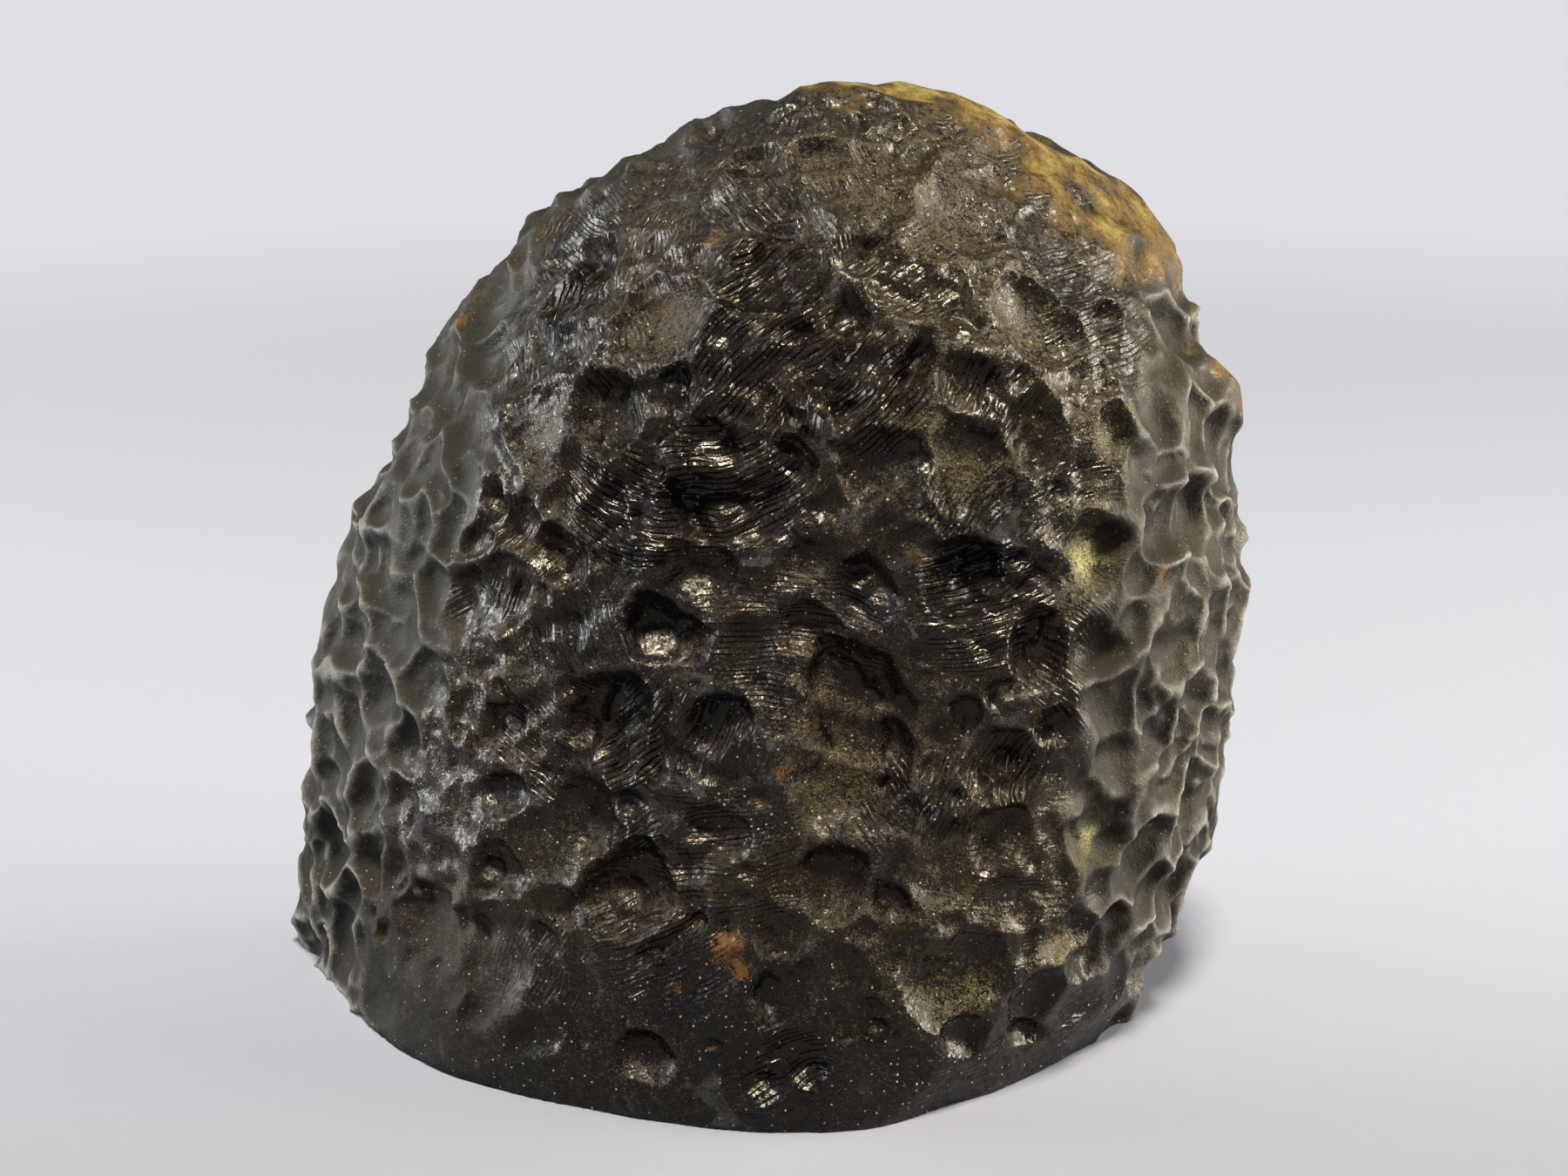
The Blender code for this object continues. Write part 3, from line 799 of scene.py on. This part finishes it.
def flow_coordinates(points):
    """How far each point lies across and along its field's lines, and how strong they are."""
    best, second = np.full((2, len(points)), 1e-9)
    across, along = np.zeros((2, len(points)))
    power = np.ones(len(points))
    for n, (middle, radius, direction, bend, strongest) in enumerate(flow_fields()):
        weight = near_weight(points, middle, FLOW_REACH * radius)
        normal = form_normals(middle[None])[0]
        ahead = unit(direction - normal * (direction @ normal))
        aside = np.cross(normal, ahead)
        offset = points - middle
        u, v = offset @ ahead, offset @ aside
        turned = v - np.radians(bend) * u * u / 2
        leads = weight > best
        second = np.where(leads, best, np.maximum(second, weight))
        best = np.where(leads, weight, best)
        across = np.where(leads, turned + FLOW_APART * n, across)
        along = np.where(leads, u, along)
        power = np.where(leads, strongest, power)
    strength = ramp(best - second, 0, FLOW_LEAD) * ramp(best, 0, FLOW_FULL)
    # The lines fade on worn skin and under dust
    strength *= power * np.clip(1.3 * crispness(points) - 0.1, 0, 1)
    strength *= np.clip(1.5 - 1.6 * front_mask(points, BROWN_DUST + OLIVE_DUST), 0, 1)
    return across, along, strength


def mesh_points(mesh, name="co"):
    """What a mesh's points have under a name: their places, or their normals."""
    values = np.empty(len(mesh.vertices) * 3)
    mesh.vertices.foreach_get(name, values)
    return values.reshape(-1, 3)


def mesh_edges(mesh):
    """The points at the two ends of each of a mesh's edges."""
    edges = np.empty(len(mesh.edges) * 2, int)
    mesh.edges.foreach_get("vertices", edges)
    return edges.reshape(-1, 2).T


def around(edges, from_one, from_other, size):
    """For each of a mesh's points, the mean of what its edges bring from their other ends."""
    one, other = edges
    total, count = np.zeros((size,) + from_one.shape[1:]), np.zeros(size)
    np.add.at(total, other, from_one)
    np.add.at(total, one, from_other)
    np.add.at(count, one, 1)
    np.add.at(count, other, 1)
    return total / count.reshape((-1,) + (1,) * (total.ndim - 1))


def soften(mesh):
    """The worn skin's ridges are rubbed round."""
    points, edges = mesh_points(mesh), mesh_edges(mesh)
    rubbed = RUB_SHARE * (1 - crispness(points))[:, None]
    for _ in range(RUB_TIMES):
        middles = around(edges, points[edges[0]], points[edges[1]], len(points))
        points = points + rubbed * (middles - points) * (points[:, 2:] > RUB_ABOVE)
    mesh.vertices.foreach_set("co", points.ravel())
    mesh.update()


def sharpness(mesh, points):
    """How sharply the skin bends outward: 1 on a ridge's crest, 0 where it is flat."""
    one, other = edges = mesh_edges(mesh)
    normals = mesh_points(mesh, "normal")
    step = points[other] - points[one]
    length = np.linalg.norm(step, axis=1)
    fall_to_other = (step * normals[one]).sum(1) / length
    fall_to_one = -(step * normals[other]).sum(1) / length
    bend = -around(edges, fall_to_one, fall_to_other, len(points))
    for _ in range(RIDGE_SMOOTHING):
        bend = (bend + around(edges, bend[one], bend[other], len(points))) / 2
    return np.clip(bend / RIDGE_BEND, 0, 1) ** RIDGE_POWER


def paint_fields(stone, shift):
    """Write what the material needs at each point of the mesh."""
    mesh = stone.data
    points = mesh_points(mesh)
    across, along, strength = flow_coordinates(points)
    flecks = [(x, z, radius, FLECK_AMOUNT) for x, z, radius in FLECKS]
    ledges = [(x, z, radius, LEDGE_AMOUNT) for x, z, radius in LEDGES]
    fields = {
        "flow": strength, "flow_across": across + uneven(points, LINE_WAVES),
        "flow_along": along, "brown": front_mask(points, BROWN_DUST),
        "olive": front_mask(points, OLIVE_DUST), "fleck": front_mask(points, flecks),
        "ledge": np.minimum(front_mask(points, ledges), 1), "crust": crust_nearness(points),
        "crisp": np.maximum(crispness(points), on_foot(points)),
        "ridge": sharpness(mesh, points),
    }
    for name, values in fields.items():
        layer = mesh.attributes.new(name, "FLOAT", "POINT")
        layer.data.foreach_set("value", values.astype(np.float32))
    mesh.vertices.foreach_set("co", ((points + shift) * MM).ravel())
    mesh.polygons.foreach_set("use_smooth", np.ones(len(mesh.polygons), bool))
    mesh.update()


def box_shift(stone):
    """The slide, in millimetres, that puts the stone's box over the CAD model's."""
    points = mesh_points(stone.data)
    middle = (points.min(0) + points.max(0)) / 2
    wanted = (np.array(CAD_BOX[0]) + np.array(CAD_BOX[1])) / 2 / MM
    return np.array([wanted[0] - middle[0], wanted[1] - middle[1], -points[:, 2].min()])


class Shader:
    """Short calls that add nodes to a material or a world, and link them."""

    def __init__(self, owner):
        owner.use_nodes = True
        self.owner, self.tree = owner, owner.node_tree

    def finished(self, last, inputs):
        """The material or world, once the node that its tree ends in has its inputs."""
        for name, value in inputs.items():
            self.put(self.tree.nodes[last].inputs[name], value)
        return self.owner

    def put(self, socket, value):
        """Link a socket to another, or set it to a value."""
        if isinstance(value, bpy.types.NodeSocket):
            self.tree.links.new(value, socket)
        else:
            socket.default_value = value

    def made(self, kind, inputs=(), **settings):
        """A new node, with its settings and inputs."""
        node = self.tree.nodes.new(kind)
        for name, value in settings.items():
            setattr(node, name, value)
        for name, value in dict(inputs).items():
            self.put(node.inputs[name], value)
        return node

    def node(self, kind, output, inputs=(), **settings):
        """One output of a new node."""
        return self.made(kind, inputs, **settings).outputs[output]

    def math(self, kind, a, b=0.0, c=0.0):
        return self.node("ShaderNodeMath", 0, {0: a, 1: b, 2: c}, operation=kind)

    def plus(self, a, b):
        return self.math("ADD", a, b)

    def minus(self, a, b):
        return self.math("SUBTRACT", a, b)

    def times(self, a, b):
        return self.math("MULTIPLY", a, b)

    def field(self, name):
        """A value that paint_fields wrote."""
        return self.node("ShaderNodeAttribute", "Fac", attribute_name=name)

    def vector(self, kind, first, second, into=1, output=0):
        """Vector maths with a vector and another, or with a vector and a scale."""
        inputs = {0: first, into: second}
        return self.node("ShaderNodeVectorMath", output, inputs, operation=kind)

    def apart(self, vector):
        """The X, Y and Z of a vector."""
        return self.made("ShaderNodeSeparateXYZ", {0: vector}).outputs

    def noise(self, vector, size, detail, rough=0.5):
        return self.node("ShaderNodeTexNoise", "Fac", {
            "Vector": vector, "Scale": 1 / size, "Detail": detail, "Roughness": rough})

    def cells(self, vector, size):
        """A pattern of cells: where each lies, its colour and the distance from its middle."""
        return self.made("ShaderNodeTexVoronoi", {"Vector": vector, "Scale": 1 / size}).outputs

    def steps(self, value, low, high, to_low=0.0, to_high=1.0):
        """A smooth step from one value to another, while a value goes from low to high."""
        return self.node("ShaderNodeMapRange", "Result", {
            "Value": value, "From Min": low, "From Max": high,
            "To Min": to_low, "To Max": to_high}, interpolation_type="SMOOTHSTEP")

    def blend(self, share, first, second, kind="MIX"):
        """A share of the second colour over the first."""
        return self.node("ShaderNodeMix", 2, {0: share, 6: first, 7: second}, data_type="RGBA",
                         blend_type=kind)

    def even(self, share, first, second):
        """A share of the second value over the first."""
        return self.node("ShaderNodeMix", 0, {0: share, 2: first, 3: second}, data_type="FLOAT")


def pattern(s, at, name):
    """One of the stone's noise patterns."""
    return s.noise(at.mm, *PATTERNS[name])


def skin_patterns(s):
    """What lies where on the stone: the sockets that its colours, gloss and relief share."""
    at = SimpleNamespace()
    place = s.node("ShaderNodeTexCoord", "Object")
    at.mm = s.vector("SCALE", place, 1 / MM, into="Scale")
    at.aside, _, at.height = s.apart(at.mm)
    at.upward = s.apart(s.node("ShaderNodeNewGeometry", "Normal"))[2]
    at.looking_up = s.steps(at.upward, 0.10, 0.75)
    at.flow, at.ledge, at.crisp = s.field("flow"), s.field("ledge"), s.field("crisp")
    at.brown, at.olive = s.field("brown"), s.field("olive")
    at.worn = s.minus(1.0, at.crisp)
    at.low_left = s.times(s.steps(at.height, *LOW_LEFT_HEIGHTS, 0.85, 0.0),
                          s.steps(at.aside, *LOW_LEFT_SIDE, 1.0, 0.0))

    at.fine = pattern(s, at, "fine")
    at.grain = pattern(s, at, "grain")
    at.cloud = pattern(s, at, "cloud")
    blotch = pattern(s, at, "blotch")
    grainy = s.minus(at.grain, 0.5)
    at.speckled = s.math("MULTIPLY_ADD", s.minus(at.fine, 0.5), 1.1, grainy)
    at.fleck = s.steps(s.math("MULTIPLY_ADD", at.speckled, 2.4, s.field("fleck")), 0.75, 1.5)
    at.ridge = s.steps(s.math("MULTIPLY_ADD", grainy, 0.5, s.field("ridge")), 0.0, 1.0)
    at.crust = s.plus(s.field("crust"), s.times(s.minus(blotch, 0.5), 2.2))
    at.crust = s.math("MULTIPLY_ADD", at.speckled, 0.55, at.crust)
    at.crusted = s.steps(at.crust, 0.36, 0.60)

    # Dust: a film on what looks up, and patches on the front, but little on flow lines and ledges.
    # The film thins where the skin looks steeply up and towards the foot, as painted shade on the
    # top and the foot.
    lying_dust_and_shade = s.times(s.steps(at.upward, -0.30, 0.50), s.steps(at.upward, 0.25, 0.70, 1.0, 0.20))
    lying_dust_and_shade = s.times(lying_dust_and_shade, s.steps(at.height, *DUST_AND_SHADE_HEIGHTS))
    film = s.times(lying_dust_and_shade, s.steps(at.cloud, 0.34, 0.68, 0.50, 1.0))
    film = s.times(film, s.even(at.crisp, 0.35, 0.30))
    film = s.minus(film, s.times(at.flow, 0.25))
    patches = s.times(s.plus(at.brown, at.olive), s.steps(at.upward, -0.45, 0.25, 0.15, 0.58))
    dusty = s.math("MINIMUM", s.plus(film, patches), 0.95)
    dusty = s.minus(dusty, s.times(at.ledge, 0.80))
    at.dust = s.steps(s.math("MULTIPLY_ADD", at.speckled, 2.4, dusty), 0.05, 1.25)

    # Pale specks, partly grains of dust and partly painted glints: some cells of a fine cell
    # pattern hold one
    cells = s.cells(at.mm, SPECK_CELL)
    chance = s.node("ShaderNodeSeparateColor", 0, {0: cells["Color"]})
    small = s.steps(cells["Distance"], 0.10, 0.24, 1.0, 0.0)
    at.speck = s.times(small, s.math("GREATER_THAN", chance, SPECKLESS))

    # Tiny facets, each tilted its own way, that glitter
    cells = s.cells(at.mm, FACET_CELL)
    from_middle = s.vector("SUBTRACT", at.mm, cells["Position"])
    tilt = s.vector("SUBTRACT", cells["Color"], (0.5, 0.5, 0.5))
    at.facet = s.vector("DOT_PRODUCT", from_middle, tilt, output="Value")
    return at


def glass_colour(s, at):
    """Dark glass, the paler worn skin, dust, grit, pale specks, rust flecks and ochre crust, with
    painted shade at the foot, in worn pits and on worn tops, painted sheen on the ridges and
    painted glints among the specks.
    """
    named = COLOURS
    tone = s.steps(pattern(s, at, "glass"), 0.38, 0.62)
    crisp = s.blend(tone, named["glass"], named["brown glass"])
    # Painted shade: the crisp glass darkens to the near-black foot colour towards the bottom.
    crisp = s.blend(s.steps(at.height, *FOOT_SHADE, 0.85, 0.0), crisp, named["foot"])

    clouded = s.steps(s.math("MULTIPLY_ADD", at.speckled, 1.2, at.cloud), 0.35, 0.75)
    worn = s.blend(clouded, named["worn"], named["worn cloud"])
    # Painted shade: the worn skin darkens with the pits' depth, as shade in the bowls.
    worn = s.blend(s.steps(s.field("pit"), 0.15, 0.90, 0.0, 0.6), worn, named["worn pit shade"])
    # Painted sheen: the ridges' paleness, partly wear, is strongest on the outer flanks where the
    # side light falls.
    rubbed = 0.0
    for change in RIDGE_SHEEN_BY_X:
        rubbed = s.plus(rubbed, s.steps(at.aside, *change))
    worn = s.blend(s.times(at.ridge, rubbed), worn, named["rubbed ridge and sheen"])
    # Painted shade: the worn skin is darker where it looks up, under the overhead light.
    worn = s.blend(s.times(at.looking_up, 0.9), worn, named["worn top"])
    colour = s.blend(s.times(at.worn, 0.95), crisp, worn)

    pale_olive = s.steps(at.olive, 0.9, 1.4)
    olive_share = s.math("DIVIDE", at.olive, s.plus(s.plus(at.olive, at.brown), 0.15))
    tone = s.steps(pattern(s, at, "dust"), 0.4, 0.6)
    dust = s.blend(tone, named["earth"], named["silt"])
    dust = s.blend(s.math("MINIMUM", at.brown, 1.0), dust, named["brown dust"])
    dust = s.blend(olive_share, dust, named["olive dust"])
    dust = s.blend(pale_olive, dust, named["pale olive"])
    dust_share = s.math("MAXIMUM", s.even(at.worn, 0.95, 0.30), pale_olive)
    colour = s.blend(s.times(at.dust, dust_share), colour, dust)

    grit = s.steps(pattern(s, at, "grit"), 0.40, 0.62,
                   s.even(at.worn, 0.45, 0.80), s.even(at.worn, 1.75, 1.20))
    colour = s.blend(1.0, colour, grit, "MULTIPLY")
    # Painted glints: the pale specks are stronger on the crisp glass, where they stand in for
    # glints as well as grains.
    colour = s.blend(s.times(at.speck, s.even(at.crisp, 0.22, 0.60)), colour, named["speck"])
    colour = s.blend(s.times(at.fleck, 0.8), colour, named["fleck"])

    # The crust is dark at its edge, and palest where it looks up
    colour = s.blend(s.steps(at.crust, 0.30, 0.55, 0.0, 0.85), colour, named["crust edge"])
    colour = s.blend(s.steps(at.crust, 0.50, 0.95), colour, named["crust"])
    pale = s.plus(at.crust, s.steps(at.upward, 0.45, 0.90, -0.20, 0.25))
    return s.blend(s.steps(pale, 0.80, 1.70), colour, named["pale crust"])


def glass_roughness(s, at):
    """Glossy lines and ledges on crisp glass, and matt dust, worn skin, top and low left."""
    named = ROUGHNESS
    gloss = s.steps(pattern(s, at, "gloss"), 0.35, 0.65, *named["crisp"])
    rough = s.even(at.crisp, named["worn"], gloss)
    rough = s.even(at.flow, rough, named["line"])
    rough = s.even(s.times(at.dust, 0.7), rough, named["dust"])
    rough = s.even(s.times(at.ledge, at.crisp), rough,
                   s.steps(at.grain, 0.30, 0.70, *named["ledge"]))
    top = s.even(at.crisp, named["worn top"], s.steps(at.grain, 0.40, 0.60, *named["crisp top"]))
    top_share = s.times(s.times(at.looking_up, s.minus(1.0, at.ledge)), 0.8)
    rough = s.even(top_share, rough, top)
    rough = s.even(at.low_left, rough, named["low left"])
    return s.even(at.crusted, rough, s.steps(at.grain, 0.35, 0.65, *named["crust"]))


def line_pattern(s, across, along, sizes, third):
    """A pattern drawn out along the flow lines."""
    place = s.node("ShaderNodeCombineXYZ", 0, {
        0: s.math("DIVIDE", across, sizes[0]), 1: s.math("DIVIDE", along, sizes[1]), 2: third})
    return s.noise(place, 1.0, 1.0)


def glass_relief(s, at):
    """The skin's finest relief: flow lines, grain, rumples, facets and specks."""
    named = RELIEF
    # Flow lines: small steps, each with a long side that looks up and a short one under it
    across, along = s.field("flow_across"), s.field("flow_along")
    wobble = line_pattern(s, across, along, WOBBLE_SIZES, 0.0)
    phase = s.math("MULTIPLY_ADD", wobble, WOBBLE, s.math("DIVIDE", across, LINE_SPACING))
    phase = s.math("FRACT", phase)
    short_side = 1 - LONG_SIDE
    step = s.math("MAXIMUM", s.math("MULTIPLY_ADD", phase, -1 / LONG_SIDE, 1.0),
                  s.math("MULTIPLY_ADD", phase, 1 / short_side, -LONG_SIDE / short_side))
    strong = line_pattern(s, across, along, STRONG_SIZES, 5.0)
    lines = s.times(step, s.steps(strong, 0.36, 0.60, 0.15, 1.0))
    bare = s.times(at.flow, s.minus(1.0, s.math("MAXIMUM", at.crusted, at.low_left)))
    lines = s.times(s.times(lines, bare), s.even(at.ledge, named["line"], named["line on ledge"]))

    grain = s.even(at.crisp, named["worn grain"], named["crisp grain"])
    grain = s.times(at.fine, s.even(at.dust, grain, named["dusty grain"]))
    rumple = s.times(pattern(s, at, "rumple"), named["rumple"])
    glitter = s.times(s.times(at.crisp, s.minus(1.0, at.flow)), s.minus(1.0, at.low_left))
    facet = s.even(at.ledge, named["facet"], named["facet on ledge"])
    facet = s.times(at.facet, s.even(glitter, named["worn facet"], facet))
    height = s.plus(s.plus(lines, grain), s.plus(rumple, facet))
    return s.plus(height, s.times(at.speck, named["speck"]))


def glass():
    """The stone's material."""
    s = Shader(bpy.data.materials.new("tektite_skin"))
    at = skin_patterns(s)
    bump = {"Height": glass_relief(s, at), "Distance": MM, "Strength": 1.0}
    return s.finished("Principled BSDF", {
        "Base Color": glass_colour(s, at), "Roughness": glass_roughness(s, at), "IOR": IOR,
        "Specular IOR Level": SPECULAR, "Specular Tint": SPECULAR_TINT,
        "Normal": s.node("ShaderNodeBump", 0, bump)})


def build_stone():
    """The stone, in place of its CAD node."""
    stone = dense_stone()
    paint_fields(stone, box_shift(stone))
    stone.name = stone.data.name = "tektite_skin"
    stone.data.materials.clear()
    stone.data.materials.append(glass())
    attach(stone, "root")
    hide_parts(NODE)


def paper():
    """A pale sheet of paper that reaches to the horizon on every side, its light painted in:
    darker in front of the stone and paler far off.
    """
    mesh = bpy.data.meshes.new("paper")
    reach = PAPER_REACH * MM
    corners = [(-reach, -reach, 0), (reach, -reach, 0), (reach, reach, 0), (-reach, reach, 0)]
    mesh.from_pydata(corners, [], [(0, 1, 2, 3)])
    sheet = bpy.data.objects.new("paper", mesh)
    bpy.context.scene.collection.objects.link(sheet)
    s = Shader(bpy.data.materials.new("paper"))
    place = s.node("ShaderNodeTexCoord", "Object")
    fibre = s.noise(place, PAPER_FIBRE, 4.0)
    mm = s.vector("SCALE", place, 1 / MM, into="Scale")
    away = s.node("ShaderNodeVectorMath", "Value", {0: mm}, operation="LENGTH")
    near, behind = s.blend(fibre, *PAPER_NEAR_SHADED), s.blend(fibre, *PAPER_BEHIND)
    # Painted light: the paper is darker in front of the stone, paler behind it, and palest and
    # bluest far off.
    colour = s.blend(s.steps(s.apart(mm)[1], *BEHIND_FROM), near, behind)
    colour = s.blend(s.steps(away, *FAR_FROM), colour, PAPER_FAR_LIT)
    sheet.data.materials.append(s.finished("Principled BSDF", {
        "Base Color": colour, "Roughness": PAPER_ROUGHNESS,
        "Specular IOR Level": PAPER_SPECULAR}))


def lamp(name, kind, place, target, power, colour):
    """A light at a place, turned to its target."""
    light = bpy.data.lights.new(name, kind)
    light.energy = power
    light.color = colour
    holder = bpy.data.objects.new(name, light)
    holder.location = Vector(place) * MM
    toward = Vector(target) * MM - holder.location
    holder.rotation_euler = toward.to_track_quat("-Z", "Y").to_euler()
    bpy.context.scene.collection.objects.link(holder)
    return light


def light_the_stone():
    """The overhead light, the soft panels and the room's glow."""
    key = lamp("key", "SUN", KEY_PLACE, KEY_TARGET, KEY_STRENGTH, KEY_COLOUR)
    key.angle = np.radians(KEY_WIDTH)
    for name, place, size, power, colour in PANELS:
        panel = lamp(name, "AREA", place, PANEL_TARGET, power, colour)
        panel.shape = "DISK"
        panel.size = size * MM
        panel.spread = np.radians(PANEL_SPREAD)

    # The room: pale all round at the horizon and dim above it
    s = Shader(bpy.data.worlds.new("room"))
    rise = s.apart(s.node("ShaderNodeTexCoord", "Generated"))[2]
    limits = dict(zip(("From Min", "From Max", "To Min", "To Max"), ROOM))
    glow = s.node("ShaderNodeMapRange", 0, {"Value": rise, **limits})
    bpy.context.scene.world = s.finished("Background", {"Color": ROOM_COLOUR, "Strength": glow})


def place_camera():
    """The photograph's camera."""
    camera = bpy.data.cameras.new("camera")
    camera.lens = LENS
    camera.sensor_width = SENSOR
    camera.clip_start = CLIP_START
    pitch = np.radians(CAMERA_PITCH)
    holder = bpy.data.objects.new("camera", camera)
    holder.location = AIM + CAMERA_DISTANCE * Vector((0, -np.cos(pitch), np.sin(pitch)))
    holder.rotation_euler = (np.radians(90) - pitch, 0, 0)
    bpy.context.scene.collection.objects.link(holder)
    bpy.context.scene.camera = holder


bpy.context.scene.view_settings.view_transform = "Standard"
bpy.context.scene.view_settings.look = "Medium High Contrast"
place_camera()
light_the_stone()
paper()
build_stone()
